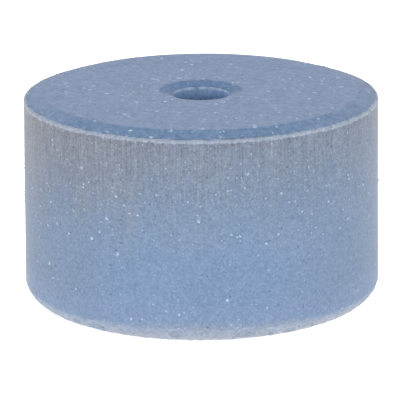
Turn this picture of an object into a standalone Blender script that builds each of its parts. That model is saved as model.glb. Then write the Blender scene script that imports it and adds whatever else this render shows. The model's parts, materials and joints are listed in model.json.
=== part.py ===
"""Pressed mineral lick for livestock: a short salt cylinder with a countersunk hanging bore right through
it, and the coarse salt crystals that show in its skin, each seated in its own pocket.

Metres, +Z up. The origin is the middle of the face the block stands on, and the front faces -Y.
Run with: blender --background --python part.py
"""

import math
import random
from typing import NamedTuple

import bmesh
import bpy
from mathutils import Euler, Vector

# Pressed block, as it leaves the die
HEIGHT = 0.1324
RIM_RADIUS = 0.110
DRAFT = 0.0011  # how much wider the wall is at its foot than at its rim
BEVEL_WIDTH = 0.0119  # shallow ring that the punch leaves round both faces
BEVEL_DEPTH = 0.0037
FLASH_RADIUS = 0.0009  # rounding of the rim, where punch and die meet
BREAK_WIDTH = 0.0065  # worn corner under the wall
BREAK_HEIGHT = 0.0090
BREAK_BULGE = 0.0012  # how far the worn corner stands out from a straight chamfer
BORE_RADIUS = 0.0177
SINK_RADIUS = 0.0258  # mouth of the shallow countersink at both ends of the bore
SINK_DEPTH = 0.0025
SEGMENTS = 120

# Coarse crystals, spread over the skin by rule
WALL_COUNT = 46
WALL_HEIGHTS = (0.016, 0.122)  # above the base
TOP_COUNT = 10
TOP_RADII = (0.033, 0.090)  # from the axis
EDGES = (0.0013, 0.0022)  # of the smallest and the largest crystal
CREAM_EVERY = 8  # one crystal in so many is cream and not white
SPACING = 0.011  # least distance between two crystals
GAP = 0.0003  # left round each crystal in its pocket
CHAMFER_SHARE = 0.09  # of a crystal's edge
SUNK_SHARE = 0.32  # of a crystal's edge, from the skin down to its centre
STRETCH = 0.22  # how far a crystal's sides may differ from its nominal edge
TILT = math.radians(18)
SEED = 41

BLUE = (0.26, 0.34, 0.48)
WHITE = (0.72, 0.73, 0.74)
CREAM = (0.72, 0.65, 0.50)


class Crystal(NamedTuple):
    place: Vector  # on the block's skin
    out: Vector  # unit vector out of the skin there
    edge: float
    cream: bool


def new_collection(name):
    collection = bpy.data.collections.new(name)
    bpy.context.scene.collection.children.link(collection)
    return collection


def matte(name, colour, roughness):
    material = bpy.data.materials.new(name)
    material.use_nodes = True
    shader = material.node_tree.nodes["Principled BSDF"]
    shader.inputs["Base Color"].default_value = (*colour, 1.0)
    shader.inputs["Roughness"].default_value = roughness
    shader.inputs["Metallic"].default_value = 0.0
    return material


def add_object(name, mesh, collection, material=None):
    thing = bpy.data.objects.new(name, mesh)
    collection.objects.link(thing)
    if material:
        thing.data.materials.append(material)
    return thing


def as_cutter(thing):
    thing.hide_render = True
    thing.display_type = "WIRE"
    return thing


def add_boolean(thing, name, operation, other):
    """Cuts thing with an object or with a whole collection of them."""
    modifier = thing.modifiers.new(name, "BOOLEAN")
    modifier.operation = operation
    modifier.solver = "EXACT"
    if isinstance(other, bpy.types.Collection):
        modifier.operand_type = "COLLECTION"
        modifier.collection = other
    else:
        modifier.object = other


def rim_rounding():
    """Points of the arc that joins the punch bevel to the wall, from the bevel down to the wall."""
    centre = Vector((RIM_RADIUS - FLASH_RADIUS, HEIGHT - BEVEL_DEPTH - FLASH_RADIUS))
    start = math.atan2(BEVEL_WIDTH, BEVEL_DEPTH)
    steps = 2
    angles = [start * (1 - step / steps) for step in range(steps + 1)]
    return [centre + FLASH_RADIUS * Vector((math.cos(a), math.sin(a))) for a in angles]


def worn_corner():
    """Points of the bulged corner under the wall, from the wall down to the bevel."""
    upper = Vector((RIM_RADIUS + DRAFT, BEVEL_DEPTH + BREAK_HEIGHT))
    lower = Vector((RIM_RADIUS + DRAFT - BREAK_WIDTH, BEVEL_DEPTH))
    out = Vector((BREAK_HEIGHT, -BREAK_WIDTH)).normalized()
    steps = 4
    shares = [step / steps for step in range(steps + 1)]
    return [upper.lerp(lower, t) + out * BREAK_BULGE * 4 * t * (1 - t) for t in shares]


def block_outline():
    """Half section as (radius, height): outwards along the top, down the wall, inwards and up the bore."""
    outline = [
        (BORE_RADIUS, HEIGHT - SINK_DEPTH),
        (SINK_RADIUS, HEIGHT),
        (RIM_RADIUS - BEVEL_WIDTH, HEIGHT),
    ]
    outline += [tuple(point) for point in rim_rounding()]
    outline += [tuple(point) for point in worn_corner()]
    outline += [
        (RIM_RADIUS + DRAFT - BREAK_WIDTH - BEVEL_WIDTH, 0.0),
        (SINK_RADIUS, 0.0),
        (BORE_RADIUS, SINK_DEPTH),
    ]
    return outline


def turned_mesh(name, outline):
    """Turns a closed half section round the Z axis."""
    profile = bpy.data.meshes.new(name)
    count = len(outline)
    profile.from_pydata(
        [(radius, 0.0, height) for radius, height in outline],
        [(i, (i + 1) % count) for i in range(count)],
        [],
    )
    lathe = add_object(name, profile, bpy.context.scene.collection)
    screw = lathe.modifiers.new("Turn", "SCREW")
    screw.axis = "Z"
    screw.angle = 2 * math.pi
    screw.steps = SEGMENTS
    screw.render_steps = SEGMENTS
    screw.use_merge_vertices = True
    screw.merge_threshold = 0.00001
    bpy.context.view_layer.update()
    evaluated = lathe.evaluated_get(bpy.context.evaluated_depsgraph_get())
    mesh = bpy.data.meshes.new_from_object(evaluated)
    bpy.data.objects.remove(lathe)
    mesh.name = name
    mesh.shade_smooth()
    mesh.set_sharp_from_angle(angle=math.radians(12))
    return mesh


def wall_spot(bearing, height):
    """Point on the wall, and the way out of it there."""
    top = HEIGHT - BEVEL_DEPTH
    foot = BEVEL_DEPTH + BREAK_HEIGHT
    radius = RIM_RADIUS + DRAFT * (top - height) / (top - foot)
    out = Vector((math.sin(bearing), -math.cos(bearing), 0.0))
    return out * radius + Vector((0.0, 0.0, height)), out


def top_spot(bearing, radius):
    """Point on the top face, and the way out of it."""
    out = Vector((math.sin(bearing), -math.cos(bearing), 0.0))
    return out * radius + Vector((0.0, 0.0, HEIGHT)), Vector((0.0, 0.0, 1.0))


def spread(spot, count, reaches, draw):
    """Crystals at drawn places of one face, at least SPACING apart."""
    crystals = []
    while len(crystals) < count:
        place, out = spot(draw.uniform(0, 2 * math.pi), draw.uniform(*reaches))
        edge = draw.uniform(*EDGES)
        if all((place - other.place).length > SPACING for other in crystals):
            crystals.append(Crystal(place, out, edge, len(crystals) % CREAM_EVERY == 0))
    return crystals


def cuboid_mesh(name, sides):
    shape = bmesh.new()
    bmesh.ops.create_cube(shape, size=1.0)
    bmesh.ops.scale(shape, vec=sides, verts=shape.verts)
    mesh = bpy.data.meshes.new(name)
    shape.to_mesh(mesh)
    shape.free()
    return mesh


def add_crystal(name, crystal, draw, envelope, material, parts, pockets):
    """One chamfered salt crystal, cut flush with the block's skin, and the cutter for its pocket."""
    sides = Vector([crystal.edge * draw.uniform(1 - STRETCH, 1 + STRETCH) for _ in range(3)])
    room = sides + Vector((2 * GAP, 2 * GAP, 2 * GAP))
    turn = Euler((draw.uniform(-TILT, TILT), draw.uniform(-TILT, TILT), draw.uniform(0, math.pi)))
    thing = add_object(name, cuboid_mesh(name, sides), parts, material)
    pocket = as_cutter(add_object(name + "_pocket", cuboid_mesh(name + "_pocket", room), pockets))
    for body in (thing, pocket):
        body.rotation_mode = "QUATERNION"
        body.rotation_quaternion = crystal.out.to_track_quat("Z", "Y") @ turn.to_quaternion()
        body.location = crystal.place - crystal.out * crystal.edge * SUNK_SHARE
    chamfer = thing.modifiers.new("Chamfer", "BEVEL")
    chamfer.width = crystal.edge * CHAMFER_SHARE
    chamfer.segments = 1
    add_boolean(thing, "Flush", "INTERSECT", envelope)


def main():
    for thing in list(bpy.data.objects):
        bpy.data.objects.remove(thing)
    draw = random.Random(SEED)
    parts = new_collection("mineral_lick")
    cutters = new_collection("cutters")
    pockets = new_collection("pocket_cutters")
    white = matte("white_salt", WHITE, 0.35)
    cream = matte("cream_salt", CREAM, 0.45)
    blue = matte("blue_salt", BLUE, 0.65)
    envelope = as_cutter(add_object("envelope", turned_mesh("envelope", block_outline()), cutters))
    block = add_object("lick_block", turned_mesh("lick_block", block_outline()), parts, blue)

    for where, spot, count, reaches in (
        ("wall", wall_spot, WALL_COUNT, WALL_HEIGHTS),
        ("top", top_spot, TOP_COUNT, TOP_RADII),
    ):
        for number, crystal in enumerate(spread(spot, count, reaches, draw), 1):
            name = f"{where}_crystal_{number:02d}"
            material = cream if crystal.cream else white
            add_crystal(name, crystal, draw, envelope, material, parts, pockets)
    add_boolean(block, "Pockets", "DIFFERENCE", pockets)


main()
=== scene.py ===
"""Looks of the pressed mineral lick: grainy blue salt, drawn streaks, a crumbled foot and pale crystals.

Metres, +Z up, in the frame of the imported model. The block stands on z = 0 and its front faces -Y.
"""

import json
import math
import random
from collections.abc import Iterator
from typing import NamedTuple

import bmesh
import bpy
import numpy as np
from mathutils import Euler, Matrix, Vector, noise


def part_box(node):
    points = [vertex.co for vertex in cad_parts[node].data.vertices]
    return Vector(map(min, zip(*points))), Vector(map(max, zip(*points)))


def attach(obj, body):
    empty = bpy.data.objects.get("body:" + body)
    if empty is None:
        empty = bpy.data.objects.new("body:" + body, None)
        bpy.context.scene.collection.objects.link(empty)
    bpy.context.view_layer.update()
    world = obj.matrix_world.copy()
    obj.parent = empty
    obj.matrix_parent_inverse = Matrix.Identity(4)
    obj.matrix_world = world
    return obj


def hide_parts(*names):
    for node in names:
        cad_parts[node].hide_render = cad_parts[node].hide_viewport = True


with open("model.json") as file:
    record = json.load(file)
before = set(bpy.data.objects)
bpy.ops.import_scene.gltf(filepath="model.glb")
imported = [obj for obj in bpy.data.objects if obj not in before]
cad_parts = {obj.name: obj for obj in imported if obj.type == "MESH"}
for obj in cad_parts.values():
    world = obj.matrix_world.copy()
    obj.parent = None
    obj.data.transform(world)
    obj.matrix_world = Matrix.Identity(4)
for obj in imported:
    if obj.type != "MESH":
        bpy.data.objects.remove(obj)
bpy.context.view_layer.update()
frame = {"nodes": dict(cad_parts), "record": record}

# ---------------------------------------------------------------- sizes of the block
BLOCK = "lick_block"
LOW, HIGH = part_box(BLOCK)
HEIGHT = HIGH.z
DRAFT = 0.0011
RIM_RADIUS = (HIGH.x - LOW.x) / 2 - DRAFT
BEVEL_WIDTH, BEVEL_DEPTH = 0.0119, 0.0037
BREAK_WIDTH, BREAK_HEIGHT, BREAK_BULGE = 0.0065, 0.0090, 0.0012  # worn corner under the wall
BORE_RADIUS = 0.0177
SINK_RADIUS, SINK_DEPTH = 0.0258, 0.0025
FLASH_RADIUS = 0.0012  # rounding of the rim, worn a little rounder than it was pressed
RIM_HEIGHT = HEIGHT - BEVEL_DEPTH  # upper end of the wall
FOOT_HEIGHT = BEVEL_DEPTH + BREAK_HEIGHT  # lower end of the wall
FOOT_RADIUS = RIM_RADIUS + DRAFT
CORNER_IN = FOOT_RADIUS - BREAK_WIDTH  # radius of the worn corner's lower end
FLAT_OUT = RIM_RADIUS - BEVEL_WIDTH  # outer radius of the flat of the top
FLAT_OUT_BELOW = CORNER_IN - BEVEL_WIDTH
MM = 0.001

# ---------------------------------------------------------------- rows and columns of the skin
COLUMNS = 620
RIM_STEPS = 4
WALL_STEPS = 52
CORNER_STEPS = 12
FINE_STRETCH = 8 * MM  # the wall has closer rows over this much of its lower end

# ---------------------------------------------------------------- chips, sizes and depths in mm
CORNER = ((FOOT_RADIUS, FOOT_HEIGHT), (CORNER_IN, BEVEL_DEPTH))
OUT_OF_CORNER = (0.81, -0.585)
BRIM = ((RIM_RADIUS, RIM_HEIGHT), (RIM_RADIUS, RIM_HEIGHT))
OUT_OF_BRIM = (0.8, 0.6)
BROAD_CHIPS = dict(count=34, sizes=(10, 24), bites=(-0.6, 0.8), stretch=CORNER, lean=OUT_OF_CORNER)
SMALL_CHIPS = dict(count=120, sizes=(2, 5), bites=(-0.9, 0.1), stretch=CORNER, lean=OUT_OF_CORNER)
RIM_CHIPS = dict(count=46, sizes=(1.2, 3.5), bites=(0.2, 0.7), stretch=BRIM, lean=OUT_OF_BRIM)

# ---------------------------------------------------------------- unevenness of the skin
REST_INSET = -0.04  # mm that the skin lies under the pressed size, before its unevenness
BASE_INSET = -0.05  # at least this in the face that it stands on
LIP_STAND = 0.25  # mm that the ragged rim stands out

# ---------------------------------------------------------------- grains and coarse crystals
SEED = 7
GRAIN_STRETCH = (0.7, 1.3)  # of each of a grain's sides
GRAIN_TILT = 0.4  # radians
GRAIN_UNEVEN = (0.86, 1.10)  # of each of its vertices
GRAIN_SUNK = 0.42  # of its thickness, from the skin down to its centre
LEAST_HEIGHT = 0.00002  # no grain goes further down than this above the floor
WEAR_VOXEL = 0.00013  # how finely the coarse crystals are remeshed
WEAR_ROUNDS = 9
WEAR_SWELL = 0.02  # mm that they regain after the rounds of smoothing
WEAR_WAVES = 0.10  # mm of unevenness
WEAR_WAVE_SIZE = 0.9 * MM
COARSE_CLOUDINESS = (0.25, 0.85)

# ---------------------------------------------------------------- studio
FLOOR_GLOW = 0.75  # the light table shines everywhere but under the block
STUDIO_LIGHT = 0.62  # of the white surroundings


# ---------------------------------------------------------------- colours
def colour(red, green, blue):
    """Linear colour of an 8-bit sRGB one."""
    shares = [channel / 255 for channel in (red, green, blue)]
    return tuple(s / 12.92 if s <= 0.04045 else ((s + 0.055) / 1.055) ** 2.4 for s in shares)


LOW_WALL = colour(119, 143, 173)
# greyer wall colour at both sides: painted sheen of the grazing light there
WALL_SIDES_PAINTED_SHEEN = colour(117, 136, 163)
# paler, bluer wall just above the foot: painted bounce light from the floor
LOWER_WALL_PAINTED_BOUNCE = colour(125, 146, 177)
DRAWN_GREY = colour(122, 133, 151)
LEFT_BROWN_GREY = colour(126, 129, 138)
STAIN = colour(108, 114, 122)
LIP_DULL, LIP_PALE = colour(150, 163, 184), colour(171, 181, 197)
PLATEAU = colour(127, 148, 183)
PUNCHED = colour(105, 134, 170)
# countersink blue, darkened with painted shade on its back
SINK_BLUE_AND_SHADE = colour(96, 126, 165)
# bore blue: painted shade deep down, a painted highlight just inside the edge
BORE_PAINTED_SHADE, BORE_MOUTH, BORE_PAINTED_HIGHLIGHT = colour(77, 110, 157), colour(129, 158, 200), colour(170, 190, 218)
FOOT_LOW, FOOT_HIGH = colour(158, 160, 166), colour(148, 157, 172)
# the chips: bluer inside and darkened with painted shade, with a pale painted highlight along each one's
# brink
CHIPPED_BLUE_AND_SHADE = colour(128, 144, 166)
BRINK_PAINTED_HIGHLIGHT = colour(184, 195, 208)
GRAIN_TINT = colour(140, 149, 162)
DUST = colour(178, 190, 208)
BLUE_THROUGH = colour(165, 196, 244)
WHITE_CLEAR, WHITE_CLOUDY = colour(145, 160, 184), colour(194, 204, 220)
PRESSED_CLEAR, PRESSED_CLOUDY = colour(146, 166, 198), colour(192, 207, 228)
CREAM_CLEAR, CREAM_CLOUDY = colour(150, 162, 182), colour(208, 206, 198)
CRUMB_CLEAR, CRUMB_CLOUDY = colour(136, 152, 178), colour(186, 194, 206)


# ---------------------------------------------------------------- section of the block
def rim_rounding():
    """Corners of the arc that joins the punch bevel to the wall."""
    slope = math.atan2(BEVEL_WIDTH, BEVEL_DEPTH)
    corners = []
    for step in range(RIM_STEPS + 1):
        angle = slope * (1 - step / RIM_STEPS)
        radius = RIM_RADIUS - FLASH_RADIUS * (1 - math.cos(angle))
        height = RIM_HEIGHT - FLASH_RADIUS * (1 - math.sin(angle))
        corners.append((radius, height, 1 if step < RIM_STEPS else WALL_STEPS))
    return corners


def worn_corner():
    """Corners of the bulged stretch under the wall, without its lower end."""
    upper, lower = Vector(CORNER[0]), Vector(CORNER[1])
    out = Vector((BREAK_HEIGHT, -BREAK_WIDTH)).normalized()
    shares = [step / CORNER_STEPS for step in range(CORNER_STEPS)]
    return [(*(upper.lerp(lower, t) + out * BREAK_BULGE * 4 * t * (1 - t)), 1) for t in shares]


def half_section():
    """Points (radius, height) once round: out along the top, down the wall, in, and up the bore."""
    corners = [  # radius, height, steps to the next corner
        (BORE_RADIUS, HEIGHT - SINK_DEPTH, 7),
        (SINK_RADIUS, HEIGHT, 22),
        (FLAT_OUT, HEIGHT, 9),
        *rim_rounding(),
        (FOOT_RADIUS - 0.07 * MM, FOOT_HEIGHT + FINE_STRETCH, 9),
        *worn_corner(),
        (CORNER_IN, BEVEL_DEPTH, 12),
        (FLAT_OUT_BELOW, 0.0, 7),
        (SINK_RADIUS, 0.0, 4),
        (BORE_RADIUS, SINK_DEPTH, 12),
    ]
    points = []
    for here, there in zip(corners, corners[1:] + corners[:1]):
        start, end = Vector(here[:2]), Vector(there[:2])
        points += [start.lerp(end, step / here[2]) for step in range(here[2])]
    return np.array(points)


def outward(section):
    """Unit normals of the closed section, with corners averaged."""
    along = np.roll(section, -1, axis=0) - np.roll(section, 1, axis=0)
    normals = np.stack([-along[:, 1], along[:, 0]], axis=1)
    return normals / np.linalg.norm(normals, axis=1, keepdims=True)


def turned(section):
    """The section's values (radius, height) at every column round the axis, as a list of 3-D vectors."""
    turn = np.arange(COLUMNS) * 2 * math.pi / COLUMNS
    x = np.sin(turn)[:, None] * section[None, :, 0]
    y = -np.cos(turn)[:, None] * section[None, :, 0]
    z = np.broadcast_to(section[None, :, 1], (COLUMNS, len(section)))
    return np.stack([x, y, z], axis=2).reshape(-1, 3)


def around(bearing, radius, height):
    """A point at a bearing from the front, in radians."""
    return np.array((radius * math.sin(bearing), -radius * math.cos(bearing), height))


# ---------------------------------------------------------------- skin of the block
def waves(points, size, height, seed=0.0):
    """Perlin noise up to height either way. Size is that of its features in mm, or one for each axis."""
    shift = Vector((seed, -seed, seed * 0.5))
    scaled = points / (np.asarray(size) * MM)
    return np.array([noise.noise(Vector(point) + shift) for point in scaled]) * height


def ramp(values, low, high):
    share = np.clip((values - low) / (high - low), 0.0, 1.0)
    return share * share * (3 - 2 * share)


def crumbled_foot(points):
    """How far the foot has crumbled, 0 to 1: highest up at the front, ragged above."""
    distance = np.linalg.norm(points[:, :2], axis=1)
    ragged = waves(points, size=5, height=1.8, seed=4.4) * MM
    ragged = points[:, 2] + ragged + waves(points, size=16, height=1.8, seed=9.4) * MM
    front = np.clip(-points[:, 1] / FOOT_RADIUS, 0, 1) ** 6
    upper_end = FOOT_HEIGHT + (-0.8 + 6.6 * front) * MM
    fade = 3.0 + 5.5 * front  # in mm
    foot = ramp((upper_end - ragged) / fade, 0, MM)
    # strongest 30 degrees to the right of the front
    toward_strongest = (points[:, 0] * 0.5 - points[:, 1] * 0.87) / FOOT_RADIUS
    foot *= 0.8 + 0.2 * np.clip(toward_strongest, 0, 1) ** 2
    return foot * ramp(distance, FOOT_RADIUS - 20 * MM, FOOT_RADIUS - 14 * MM)


def unevenness(points, foot):
    """How far each point lies out of the pressed surface, in mm."""
    distance, level = np.linalg.norm(points[:, :2], axis=1), points[:, 2]
    on_wall = (distance > RIM_RADIUS - 2 * MM).astype(float)
    high = ramp(level, 55 * MM, 95 * MM) * on_wall
    low = ramp(-level, -60 * MM, -20 * MM) * on_wall
    lip = ramp(distance, RIM_RADIUS - 2.2 * MM, RIM_RADIUS - 0.8 * MM)
    lip *= ramp(level, RIM_HEIGHT - 2.6 * MM, RIM_HEIGHT)
    mouth = ramp(-distance, -(SINK_RADIUS + 1.5 * MM), -(SINK_RADIUS - 1 * MM))

    grain = waves(points, size=2.6, height=0.045 + 0.05 * low)
    grain += waves(points, size=7, height=0.05, seed=3.1)
    drawn = waves(points, size=(2.2, 2.2, 60), height=0.07, seed=7.7) * high
    sag = waves(points, size=45, height=0.12, seed=1.9) * on_wall
    crumbs = waves(points, size=2.4, height=0.22, seed=5.5) + waves(points, size=9, height=0.15, seed=6.5)
    broken = waves(points, size=3.2, height=0.45, seed=8.5) * foot
    worn = waves(points, size=3.0, height=0.22, seed=2.5) * mouth
    inset = REST_INSET + grain + drawn + sag + lip * (LIP_STAND + crumbs) + broken + worn
    return np.where(level < 0.2 * MM, np.minimum(inset, BASE_INSET), inset)


def scoop(points, centre, radius, uneven):
    """Breaks off a chip: pushes the points inside an uneven ball out of it. Returns how far each went."""
    away = points - centre
    distance = np.linalg.norm(away, axis=1)
    inside = distance + uneven < radius
    moved = np.where(inside, radius - distance - uneven, 0.0)
    points[inside] += away[inside] / distance[inside, None] * moved[inside, None]
    return moved


def chips(draw, count, sizes, bites, stretch, lean):
    """Balls that bite a stretch of the section, sizes and bites in mm: centre and radius of each.

    Lean is the way out of the skin there, in radius and height.
    """
    balls = []
    for _ in range(count):
        bearing = draw.uniform(0, 2 * math.pi)
        size = draw.uniform(*sizes) * MM
        bite = draw.uniform(*bites) * MM
        radius, height = Vector(stretch[0]).lerp(Vector(stretch[1]), draw.random())
        balls.append((around(bearing, radius, height) + around(bearing, *lean) * (size - bite), size))
    return balls


def break_off(points, draw):
    """Chips the corner and the rim. Returns how deep each point has gone."""
    balls = []
    for kind in (BROAD_CHIPS, SMALL_CHIPS, RIM_CHIPS):
        balls += chips(draw, **kind)
    uneven = waves(points, size=4.5, height=0.9, seed=12.5) * MM
    uneven += waves(points, size=1.8, height=0.3, seed=14.5) * MM
    depth = np.zeros(len(points))
    for centre, size in balls:
        depth = np.maximum(depth, scoop(points, centre, size, uneven))
    return depth


def skin_faces(rows):
    index = np.arange(COLUMNS * rows).reshape(COLUMNS, rows)
    beside = np.roll(index, -1, axis=0)
    quads = [index, np.roll(index, -1, axis=1), np.roll(beside, -1, axis=1), beside]
    return np.stack(quads, axis=2).reshape(-1, 4)


def skin_mesh(draw):
    """The block's whole skin, with what the material has to know about its foot and chips."""
    section = half_section()
    points, out = turned(section), turned(outward(section))
    foot = crumbled_foot(points)
    points += out * (unevenness(points, foot) * MM)[:, None]
    depth = break_off(points, draw)
    chipped = ramp(depth, 0.02 * MM, 0.15 * MM)
    # mask for the painted highlight along each chip's brink
    brink = chipped * (1 - ramp(depth, 0.12 * MM, 0.45 * MM))

    mesh = bpy.data.meshes.new("block_skin")
    mesh.from_pydata(points.tolist(), [], skin_faces(len(section)).tolist())
    mesh.shade_smooth()
    for name, values in (("chipped", chipped), ("brink", brink), ("foot", foot)):
        layer = mesh.attributes.new(name, "FLOAT", "POINT")
        layer.data.foreach_set("value", values.astype(np.float32))
    return mesh


# ---------------------------------------------------------------- node helpers
class Nodes:
    """Short calls for building one material."""

    def __init__(self, name):
        self.material = bpy.data.materials.new(name)
        self.material.use_nodes = True
        self.tree = self.material.node_tree
        self.shader = self.tree.nodes["Principled BSDF"]
        self.place = self.node("ShaderNodeTexCoord").outputs["Object"]
        split = self.node("ShaderNodeSeparateXYZ")
        self.feed(split.inputs[0], self.place)
        self.x, self.y, self.z = split.outputs
        squares = self.math("ADD", self.product(self.x, self.x), self.product(self.y, self.y))
        self.radius = self.math("SQRT", squares)

    def node(self, kind, **settings):
        made = self.tree.nodes.new(kind)
        for key, value in settings.items():
            setattr(made, key, value)
        return made

    def feed(self, socket, value):
        """Links a socket to another, or sets it to a constant."""
        if isinstance(value, bpy.types.NodeSocket):
            self.tree.links.new(value, socket)
        elif socket.type == "RGBA" and len(value) == 3:
            socket.default_value = (*value, 1.0)
        else:
            socket.default_value = value

    def set(self, **inputs):
        """Sets inputs of the shader, given by their names with underscores for spaces."""
        for name, value in inputs.items():
            self.feed(self.shader.inputs[name.replace("_", " ")], value)

    def math(self, operation, *values):
        made = self.node("ShaderNodeMath", operation=operation)
        for socket, value in zip(made.inputs, values):
            self.feed(socket, value)
        return made.outputs[0]

    def product(self, first, second):
        return self.math("MULTIPLY", first, second)

    def total(self, first, *others):
        for other in others:
            first = self.math("ADD", first, other)
        return first

    def scaled(self, vector, factor):
        made = self.node("ShaderNodeVectorMath", operation="SCALE")
        self.feed(made.inputs[0], vector)
        self.feed(made.inputs["Scale"], factor)
        return made.outputs[0]

    def added(self, first, second):
        made = self.node("ShaderNodeVectorMath", operation="ADD")
        self.feed(made.inputs[0], first)
        self.feed(made.inputs[1], second)
        return made.outputs[0]

    def span(self, value, low, high, to=(0.0, 1.0)):
        """Smooth step of value from low to high."""
        made = self.node("ShaderNodeMapRange", interpolation_type="SMOOTHSTEP")
        given = {"Value": value, "From Min": low, "From Max": high, "To Min": to[0], "To Max": to[1]}
        for key, number in given.items():
            self.feed(made.inputs[key], number)
        return made.outputs[0]

    def mapped(self, **settings):
        """The place, moved by a Location or stretched by a Scale."""
        made = self.node("ShaderNodeMapping")
        self.feed(made.inputs["Vector"], self.place)
        for key, value in settings.items():
            made.inputs[key].default_value = value
        return made.outputs[0]

    def noise(self, size, detail=2.0, roughness=0.5, vector=None, offset=0.0):
        """Noise round 0.5, with features of about size mm."""
        made = self.node("ShaderNodeTexNoise", noise_dimensions="4D")
        self.feed(made.inputs["Vector"], vector or self.place)
        given = {"Scale": 1 / (size * MM), "Detail": detail, "Roughness": roughness, "W": offset}
        for key, value in given.items():
            made.inputs[key].default_value = value
        return made.outputs["Fac"]

    def dots(self, cell, reach, share, offset):
        """Soft dots in a share of the cells (mm) of a fine pattern: reach is a dot's radius in cells."""
        cells = self.node("ShaderNodeTexVoronoi", feature="F1")
        self.feed(cells.inputs["Vector"], self.mapped(Location=(offset, offset, offset)))
        cells.inputs["Scale"].default_value = 1 / (cell * MM)
        pick = self.node("ShaderNodeSeparateColor")
        self.feed(pick.inputs[0], cells.outputs["Color"])
        inside = self.span(cells.outputs["Distance"], reach * 0.5, reach, (1.0, 0.0))
        return self.product(inside, self.span(pick.outputs[0], 1 - share, 1.0))

    def mix(self, factor, first, second):
        """Blends two colours: the colour sockets of the node are its inputs 6 and 7 and its output 2."""
        made = self.node("ShaderNodeMix", data_type="RGBA", blend_type="MIX")
        self.feed(made.inputs["Factor"], factor)
        self.feed(made.inputs[6], first)
        self.feed(made.inputs[7], second)
        return made.outputs[2]

    def around_zero(self, value, swing):
        """A 0 to 1 value as one round zero, swing wide in all."""
        return self.product(self.math("SUBTRACT", value, 0.5), swing)

    def attribute(self, name):
        return self.node("ShaderNodeAttribute", attribute_name=name).outputs["Fac"]

    def bump(self, height, strength, distance):
        made = self.node("ShaderNodeBump")
        made.inputs["Strength"].default_value = strength
        made.inputs["Distance"].default_value = distance
        self.feed(made.inputs["Height"], height)
        return made.outputs[0]


# ---------------------------------------------------------------- blue salt
class Grain(NamedTuple):
    """Patterns that the colour and the relief of the blue salt share."""

    streaks: bpy.types.NodeSocket
    broad_streaks: bpy.types.NodeSocket
    blotches: bpy.types.NodeSocket
    mottling: bpy.types.NodeSocket
    fine: bpy.types.NodeSocket


def salt_grain(n):
    return Grain(
        streaks=n.noise(1.1, roughness=0.6, vector=n.mapped(Scale=(1, 1, 0.03))),
        broad_streaks=n.noise(7, roughness=0.6, vector=n.mapped(Scale=(1, 1, 0.05)), offset=3.0),
        blotches=n.noise(30, detail=3.0, roughness=0.55, offset=1.0),
        mottling=n.noise(3.6, detail=3.0, roughness=0.65, offset=2.0),
        fine=n.noise(1.2, roughness=0.6, offset=4.0),
    )


def drawn_share(n, grain, on_wall):
    """The grey, drawn part of the wall fades out downwards, further in some streaks than in others."""
    level = n.total(
        n.z,
        n.around_zero(grain.streaks, 24 * MM),
        n.around_zero(grain.broad_streaks, 46 * MM),
        n.around_zero(grain.blotches, 30 * MM),
    )
    return n.product(n.span(level, 50 * MM, 135 * MM), on_wall)


def wall_colour(n, drawn):
    """Blue low down and paler just above the foot in painted bounce light, greyer at both sides in painted
    sheen, grey where it's drawn and browner at the left of that.
    """
    # painted sheen: greyer towards both sides, most at the left
    left = n.span(n.x, -105 * MM, -40 * MM, (1.0, 0.0))
    right = n.span(n.x, 50 * MM, 105 * MM, (0.0, 0.6))
    low = n.mix(n.math("ADD", left, right), LOW_WALL, WALL_SIDES_PAINTED_SHEEN)
    # painted bounce light: paler and bluer towards the foot
    low = n.mix(n.span(n.z, 16 * MM, 34 * MM, (0.8, 0.0)), low, LOWER_WALL_PAINTED_BOUNCE)
    # browner grey towards the left of the drawn part
    browner_left = n.product(n.span(n.x, -100 * MM, 20 * MM, (0.75, 0.0)), drawn)
    return n.mix(browner_left, n.mix(drawn, low, DRAWN_GREY), LEFT_BROWN_GREY)


def end_colour(n, reach):
    """The pale flat of an end, with a darker bevel that pales towards both sides in painted light, and a
    darker countersink with painted light and shade: plateau-pale in front, darker at its back.
    """
    # painted light: the bevel pales towards both sides, where more light falls on it than in front
    beside = n.span(n.math("ABSOLUTE", n.x), 40 * MM, 105 * MM, (0.0, 0.6))
    bevel = n.mix(beside, PUNCHED, PLATEAU)
    # painted light and shade: the countersink is plateau-pale in front and darker at its back
    sink = n.mix(n.span(n.y, -15 * MM, 4 * MM), PLATEAU, SINK_BLUE_AND_SHADE)
    inner = n.span(n.radius, SINK_RADIUS + 10 * MM, SINK_RADIUS + 20 * MM, (1.0, 0.0))
    sink_reach = n.math("ADD", n.radius, n.around_zero(n.noise(3.5, detail=3.0, roughness=0.65), 4.2 * MM))
    past_sink = n.span(sink_reach, SINK_RADIUS - 0.8 * MM, SINK_RADIUS + 0.8 * MM)
    before_bevel = n.span(reach, FLAT_OUT - 0.5 * MM, FLAT_OUT + 0.5 * MM, (1.0, 0.0))
    return n.mix(n.product(past_sink, before_bevel), n.mix(inner, bevel, sink), PLATEAU)


def with_bore(n, base):
    """The bore is light at its mouth and darker further down in painted shade, palest in a painted
    highlight just inside its edge.
    """
    edge = HEIGHT - SINK_DEPTH
    # painted shade: darker deeper down the bore
    bore = n.mix(n.span(n.z, HEIGHT - 14 * MM, HEIGHT - 3 * MM), BORE_PAINTED_SHADE, BORE_MOUTH)
    # painted highlight: a pale band just under the bore's edge
    bore = n.mix(n.span(n.z, edge - 2 * MM, edge - 1 * MM), bore, BORE_PAINTED_HIGHLIGHT)
    return n.mix(n.span(n.radius, BORE_RADIUS, BORE_RADIUS + 0.3 * MM, (1.0, 0.0)), base, bore)


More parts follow.
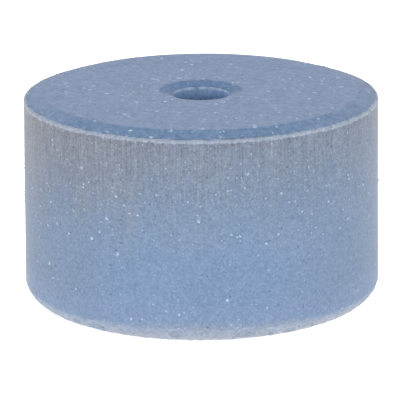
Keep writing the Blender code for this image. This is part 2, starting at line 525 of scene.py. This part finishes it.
def with_lip(n, base, reach, on_wall):
    """The pale lip at the rim, ragged below, with crumbs in it and a dull stain under it in places."""
    below = n.math("ADD", n.z, n.around_zero(n.noise(3.0, detail=3.0, roughness=0.6, offset=5.0), 4.2 * MM))
    stain = n.product(n.span(below, RIM_HEIGHT - 7.5 * MM, RIM_HEIGHT - 3.5 * MM), on_wall)
    stain = n.product(stain, n.span(n.noise(9, detail=3.0, offset=6.0), 0.45, 0.62, (0.0, 0.40)))
    base = n.mix(stain, base, STAIN)
    out_here = n.span(reach, RIM_RADIUS - 1.8 * MM, RIM_RADIUS - 1.0 * MM)
    lip = n.product(n.span(below, RIM_HEIGHT - 2.2 * MM, RIM_HEIGHT - 1.2 * MM), out_here)
    crumbs = n.span(n.noise(4.2, detail=4.0, roughness=0.7, offset=7.0), 0.36, 0.68)
    return n.mix(n.product(lip, 0.9), base, n.mix(crumbs, LIP_DULL, LIP_PALE))


def with_foot(n, base, grain):
    """The crumbled foot is duller and paler than the wall; each chip is bluer and darker inside in painted
    shade and palest in a painted highlight along its brink.
    """
    foot = n.product(n.attribute("foot"), n.span(grain.mottling, 0.3, 0.7, (0.70, 1.0)))
    base = n.mix(foot, base, n.mix(n.span(n.z, 4.5 * MM, 10.5 * MM), FOOT_LOW, FOOT_HIGH))
    # painted shade: the inside of each chip is bluer and darker
    base = n.mix(n.product(n.attribute("chipped"), 0.45), base, CHIPPED_BLUE_AND_SHADE)
    # painted highlight along the brink of each chip
    return n.mix(n.product(n.attribute("brink"), 0.65), base, BRINK_PAINTED_HIGHLIGHT)


def grain_tone(n, grain, drawn, above_rim):
    """Brightness of the grain round zero: coarser on the pressed flat and streaked on the drawn wall."""
    coarseness = n.math("MULTIPLY_ADD", above_rim, 0.70, 0.42)
    fineness = n.math("MULTIPLY_ADD", drawn, 0.20, n.math("MULTIPLY_ADD", above_rim, -0.26, 0.86))
    speck_strength = n.math("MULTIPLY_ADD", above_rim, 0.22, 0.40)
    tone = n.total(
        n.product(n.around_zero(grain.mottling, 1.0), coarseness),
        n.product(n.around_zero(grain.fine, 1.0), fineness),
        n.product(n.around_zero(grain.streaks, 0.80), drawn),
        n.product(n.around_zero(grain.broad_streaks, 0.26), drawn),
        n.around_zero(grain.blotches, 0.10),
    )
    # darker specks, stronger on the flat
    dark_specks = n.dots(cell=3.4, reach=0.22, share=0.30, offset=0.5)
    return n.math("SUBTRACT", tone, n.product(dark_specks, speck_strength))


def blue_salt():
    n = Nodes("blue_salt_looks")
    grain = salt_grain(n)
    on_wall = n.span(n.radius, RIM_RADIUS - 4 * MM, RIM_RADIUS - 2 * MM)
    above_rim = n.span(n.z, RIM_HEIGHT - 0.4 * MM, RIM_HEIGHT + 0.2 * MM)
    under_foot = n.span(n.z, BEVEL_DEPTH - 0.5 * MM, BEVEL_DEPTH + 0.5 * MM, (1.0, 0.0))
    reach = n.math("ADD", n.radius, n.around_zero(n.noise(6, detail=3.0), 2.6 * MM))
    drawn = drawn_share(n, grain, on_wall)

    on_end = n.math("MAXIMUM", above_rim, under_foot)
    base = n.mix(on_end, wall_colour(n, drawn), end_colour(n, reach))
    base = with_bore(n, base)
    base = with_lip(n, base, reach, on_wall)
    base = with_foot(n, base, grain)
    toned = n.added(base, n.scaled(GRAIN_TINT, grain_tone(n, grain, drawn, above_rim)))
    dust = n.product(n.dots(cell=2.8, reach=0.24, share=0.30, offset=0.0), 0.42)

    relief = n.total(
        n.product(grain.mottling, 0.7),
        n.product(grain.fine, 0.45),
        n.product(n.product(grain.streaks, drawn), 0.8),
    )
    n.set(
        Base_Color=n.mix(dust, toned, DUST),
        Roughness=n.span(grain.mottling, 0.3, 0.7, (0.6, 0.85)),
        Normal=n.bump(relief, strength=0.55, distance=0.35 * MM),
        Specular_IOR_Level=0.35,
        Sheen_Weight=0.20,
        Sheen_Roughness=0.45,
        Sheen_Tint=(1.0, 0.94, 0.88),
    )
    return n.material


# ---------------------------------------------------------------- pale salt
def pale_salt(name, clear, cloudy, gloss):
    """Pale grain: some let the blue through and some are cloudy, by each one's own cloudiness."""
    n = Nodes(name)
    clouds = n.noise(1.2, detail=3.0, roughness=0.6)
    own = n.product(n.attribute("cloudiness"), 0.75)
    salt = n.mix(n.math("ADD", own, n.span(clouds, 0.35, 0.65, (0.0, 0.25))), clear, cloudy)
    # low on the wall more of the block's blue comes through the grains
    blue = n.span(n.z, 50 * MM, 90 * MM, (0.3, 0.0))
    n.set(
        Base_Color=n.mix(blue, salt, BLUE_THROUGH),
        Roughness=n.span(clouds, 0.3, 0.7, (0.6 - 0.35 * gloss, 0.8 - 0.3 * gloss)),
        Normal=n.bump(n.noise(0.5), strength=0.3, distance=0.1 * MM),
        Coat_Weight=0.15 * gloss,
    )
    return n.material


# ---------------------------------------------------------------- shapes and places of the grains
def as_arrays(shape):
    """Vertices and faces of a bmesh, which is then freed."""
    shape.verts.ensure_lookup_table()
    vertices = np.array([v.co[:] for v in shape.verts])
    faces = [[v.index for v in f.verts] for f in shape.faces]
    shape.free()
    return vertices, faces


def crystal_template():
    """Chamfered cube of edge 1 round the origin, as vertices and faces."""
    shape = bmesh.new()
    bmesh.ops.create_cube(shape, size=1.0)
    bmesh.ops.bevel(shape, geom=shape.edges[:], offset=0.2, segments=1, affect="EDGES")
    return as_arrays(shape)


def crumb_template():
    """Faceted lump of diameter 1 round the origin."""
    shape = bmesh.new()
    bmesh.ops.create_icosphere(shape, subdivisions=2, radius=0.5)
    return as_arrays(shape)


def spots(draw, rings):
    """Endless places on the given rings of the skin with the way out of it, each area getting its share."""
    areas = [(Vector(a) - Vector(b)).length * (a[0] + b[0]) for a, b in rings]
    while True:
        start, end = draw.choices(rings, areas)[0]
        spot = Vector(start).lerp(Vector(end), draw.random())
        along = (Vector(end) - Vector(start)).normalized()
        bearing = draw.uniform(0, 2 * math.pi)
        place = Vector(around(bearing, spot.x, spot.y))
        yield place, Vector(around(bearing, -along.y, along.x)).normalized()


# Stretches of the section, each from one (radius, height) to another
FLAT = ((SINK_RADIUS, HEIGHT), (FLAT_OUT, HEIGHT))
TOP_BEVEL = ((FLAT_OUT, HEIGHT), (RIM_RADIUS - 1 * MM, RIM_HEIGHT))
EVERYWHERE = [
    ((RIM_RADIUS, RIM_HEIGHT - 1 * MM), (FOOT_RADIUS, FOOT_HEIGHT)),
    FLAT,
    TOP_BEVEL,
    CORNER,
    ((CORNER_IN, BEVEL_DEPTH), (FLAT_OUT_BELOW, 0.0)),
    ((FLAT_OUT_BELOW, 0.0), (SINK_RADIUS, 0.0)),
    ((BORE_RADIUS, HEIGHT - SINK_DEPTH), (SINK_RADIUS, HEIGHT)),
]
FOOT = [
    ((FOOT_RADIUS, FOOT_HEIGHT + 1 * MM), (CORNER_IN, BEVEL_DEPTH)),
    ((CORNER_IN, BEVEL_DEPTH), (CORNER_IN - 4 * MM, BEVEL_DEPTH - 1.2 * MM)),
]
DRAWN_WALL = [((RIM_RADIUS, RIM_HEIGHT - 14 * MM), (FOOT_RADIUS, HEIGHT * 0.47))]
RIM = [((RIM_RADIUS - 0.8 * MM, RIM_HEIGHT), (RIM_RADIUS, RIM_HEIGHT - 1.6 * MM))]


class Cloud(NamedTuple):
    """Many small grains set in the skin, joined in one piece."""

    name: str
    template: tuple
    count: int
    sizes: tuple  # of the smallest and the largest, mm
    power: float  # the higher, the fewer are large
    stand: float  # none stands out of the skin more than this, mm
    clear: float  # the higher, the fewer are cloudy
    places: Iterator
    slot: str
    look: str


def add_cloudiness(mesh, values):
    mesh.attributes.new("cloudiness", "FLOAT", "POINT").data.foreach_set("value", values)


def one_grain(cloud, draw):
    """Vertices of one grain at the cloud's next place, cut short where it stands out too far."""
    place, out = next(cloud.places)
    smallest, largest = cloud.sizes
    size = (smallest + (largest - smallest) * draw.random() ** cloud.power) * MM
    sides = [size * draw.uniform(*GRAIN_STRETCH) for _ in range(3)]
    leans = [draw.uniform(-GRAIN_TILT, GRAIN_TILT) for _ in range(2)]
    tilt = Euler((*leans, draw.uniform(0, math.pi)))
    rotation = (out.to_track_quat("Z", "Y") @ tilt.to_quaternion()).to_matrix()
    vertices = cloud.template[0]
    uneven = np.array([[draw.uniform(*GRAIN_UNEVEN)] for _ in vertices])
    sunk = np.array(out) * sides[2] * GRAIN_SUNK
    own = vertices * uneven * np.array(sides) @ np.array(rotation).T - sunk
    proud = np.maximum(own @ np.array(out) - cloud.stand * MM, 0.0)
    own += np.array(place) - proud[:, None] * np.array(out)
    own[:, 2] = np.maximum(own[:, 2], LEAST_HEIGHT)
    return own


def cloud_mesh(cloud, draw):
    per_grain, faces = len(cloud.template[0]), cloud.template[1]
    all_vertices, all_faces, cloudiness = [], [], []
    for number in range(cloud.count):
        all_vertices.append(one_grain(cloud, draw))
        all_faces += [[number * per_grain + i for i in face] for face in faces]
        cloudiness += [draw.random() ** cloud.clear] * per_grain
    mesh = bpy.data.meshes.new(cloud.name)
    mesh.from_pydata(np.concatenate(all_vertices).tolist(), [], all_faces)
    add_cloudiness(mesh, cloudiness)
    return mesh


def eroded(node, draw):
    """The node's crystal with its edges worn round and its faces a little uneven."""
    rough = bpy.data.objects.new("rough_crystal", node.data.copy())
    bpy.context.scene.collection.objects.link(rough)
    remesh = rough.modifiers.new("Even mesh", "REMESH")
    remesh.mode = "VOXEL"
    remesh.voxel_size = WEAR_VOXEL
    wear = rough.modifiers.new("Wear", "SMOOTH")
    wear.iterations = WEAR_ROUNDS
    bpy.context.view_layer.update()
    graph = bpy.context.evaluated_depsgraph_get()
    mesh = bpy.data.meshes.new_from_object(rough.evaluated_get(graph))
    bpy.data.objects.remove(rough)
    for vertex in mesh.vertices:
        swell = WEAR_SWELL + noise.noise(vertex.co / WEAR_WAVE_SIZE) * WEAR_WAVES
        vertex.co += vertex.normal * swell * MM
    mesh.shade_smooth()
    add_cloudiness(mesh, [draw.uniform(*COARSE_CLOUDINESS)] * len(mesh.vertices))
    return mesh


def add_piece(name, mesh, material, slot):
    piece = bpy.data.objects.new(name, mesh)
    bpy.context.scene.collection.objects.link(piece)
    mesh.materials.clear()
    mesh.materials.append(material)
    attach(piece, "root")
    return piece


def add_clouds(draw, looks):
    crystal, crumb = crystal_template(), crumb_template()
    white, cream, blue = "white_salt", "cream_salt", "blue_salt"
    everywhere, foot, rim = spots(draw, EVERYWHERE), spots(draw, FOOT), spots(draw, RIM)
    ends, drawn_wall = spots(draw, [FLAT, TOP_BEVEL]), spots(draw, DRAWN_WALL)
    for cloud in (  # name, template, count, sizes, power, stand, clear, places, slot and look
        Cloud("fine_white_crystals", crystal, 900, (0.6, 1.6), 2.0, 0.15, 3.0, everywhere, white, white),
        Cloud("wall_white_crystals", crystal, 470, (0.7, 1.6), 2.0, 0.15, 3.2, drawn_wall, white, white),
        Cloud("flat_white_crystals", crystal, 165, (1.5, 3.2), 1.4, 0.15, 0.9, ends, white, "pressed_salt"),
        Cloud("fine_cream_crystals", crystal, 60, (0.6, 1.6), 2.0, 0.15, 1.6, everywhere, cream, cream),
        Cloud("foot_crumbs", crumb, 420, (0.6, 1.6), 1.6, 0.35, 1.6, foot, blue, "crumbs"),
        Cloud("rim_crumbs", crumb, 110, (0.5, 1.1), 1.8, 0.25, 1.6, rim, blue, "crumbs"),
    ):
        add_piece(cloud.name, cloud_mesh(cloud, draw), looks[cloud.look], cloud.slot)


def add_coarse_crystals(draw, looks):
    """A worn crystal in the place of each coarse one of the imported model."""
    for part in frame["record"]["subparts"]:
        name, slot = part["node"], part["material_slot"]
        if name != BLOCK:
            worn = add_piece(name + "_worn", eroded(frame["nodes"][name], draw), looks[slot], slot)
            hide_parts(name)


# ---------------------------------------------------------------- stage, light and camera
def add_floor():
    bpy.ops.mesh.primitive_plane_add(size=12.0)
    floor = bpy.context.object
    floor.name = "studio_floor"
    n = Nodes("studio_floor_white")
    n.set(
        Base_Color=(0.9, 0.9, 0.9),
        Roughness=1.0,
        Emission_Color=(1.0, 1.0, 1.0),
        Emission_Strength=n.span(n.radius, 60 * MM, 90 * MM, (0.0, FLOOR_GLOW)),
    )
    floor.data.materials.append(n.material)


def add_softbox(name, place, size, power):
    """A square soft light that points at the middle of the block."""
    light = bpy.data.lights.new(name, "AREA")
    light.size = size
    light.energy = power
    lamp = bpy.data.objects.new(name, light)
    bpy.context.scene.collection.objects.link(lamp)
    lamp.location = place
    aim = Vector((0, 0, HEIGHT / 2)) - lamp.location
    lamp.rotation_euler = aim.to_track_quat("-Z", "Y").to_euler()


def add_light():
    world = bpy.data.worlds.new("white_studio")
    bpy.context.scene.world = world
    world.use_nodes = True
    background = world.node_tree.nodes["Background"]
    background.inputs["Color"].default_value = (1.0, 1.0, 1.0, 1.0)
    background.inputs["Strength"].default_value = STUDIO_LIGHT
    add_softbox("softbox_overhead", place=(0.0, -0.3, 1.6), size=1.6, power=8.0)
    add_softbox("softbox_front_left", place=(-0.35, -1.85, 0.9), size=1.2, power=4.0)


def add_camera():
    """Long lens, 16 degrees above the horizon, a shade off level."""
    elevation, distance, roll = math.radians(16.01), 1.9404, math.radians(-0.393)
    target = Vector((-0.00096, 0.0, HEIGHT - 0.0712))
    camera = bpy.data.objects.new("camera", bpy.data.cameras.new("camera"))
    bpy.context.scene.collection.objects.link(camera)
    camera.data.lens = 278.4
    camera.data.sensor_width = 36.0
    camera.data.clip_end = 20.0
    back = Vector((0.0, -math.cos(elevation), math.sin(elevation)))
    camera.location = target + back * distance
    level = back.to_track_quat("Z", "Y").to_matrix()
    camera.rotation_euler = (level @ Matrix.Rotation(roll, 3, "Z")).to_euler()
    bpy.context.scene.camera = camera


def main():
    bpy.context.scene.view_settings.view_transform = "Standard"
    add_floor()
    add_light()
    add_camera()
    draw = random.Random(SEED)
    looks = {
        "white_salt": pale_salt("white_salt_looks", WHITE_CLEAR, WHITE_CLOUDY, gloss=1.0),
        "pressed_salt": pale_salt("pressed_salt_looks", PRESSED_CLEAR, PRESSED_CLOUDY, gloss=1.0),
        "cream_salt": pale_salt("cream_salt_looks", CREAM_CLEAR, CREAM_CLOUDY, gloss=0.6),
        "crumbs": pale_salt("salt_crumb_looks", CRUMB_CLEAR, CRUMB_CLOUDY, gloss=0.0),
    }
    block = add_piece("pressed_salt_block", skin_mesh(draw), blue_salt(), "blue_salt")
    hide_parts(BLOCK)
    add_clouds(draw, looks)
    add_coarse_crystals(draw, looks)


main()
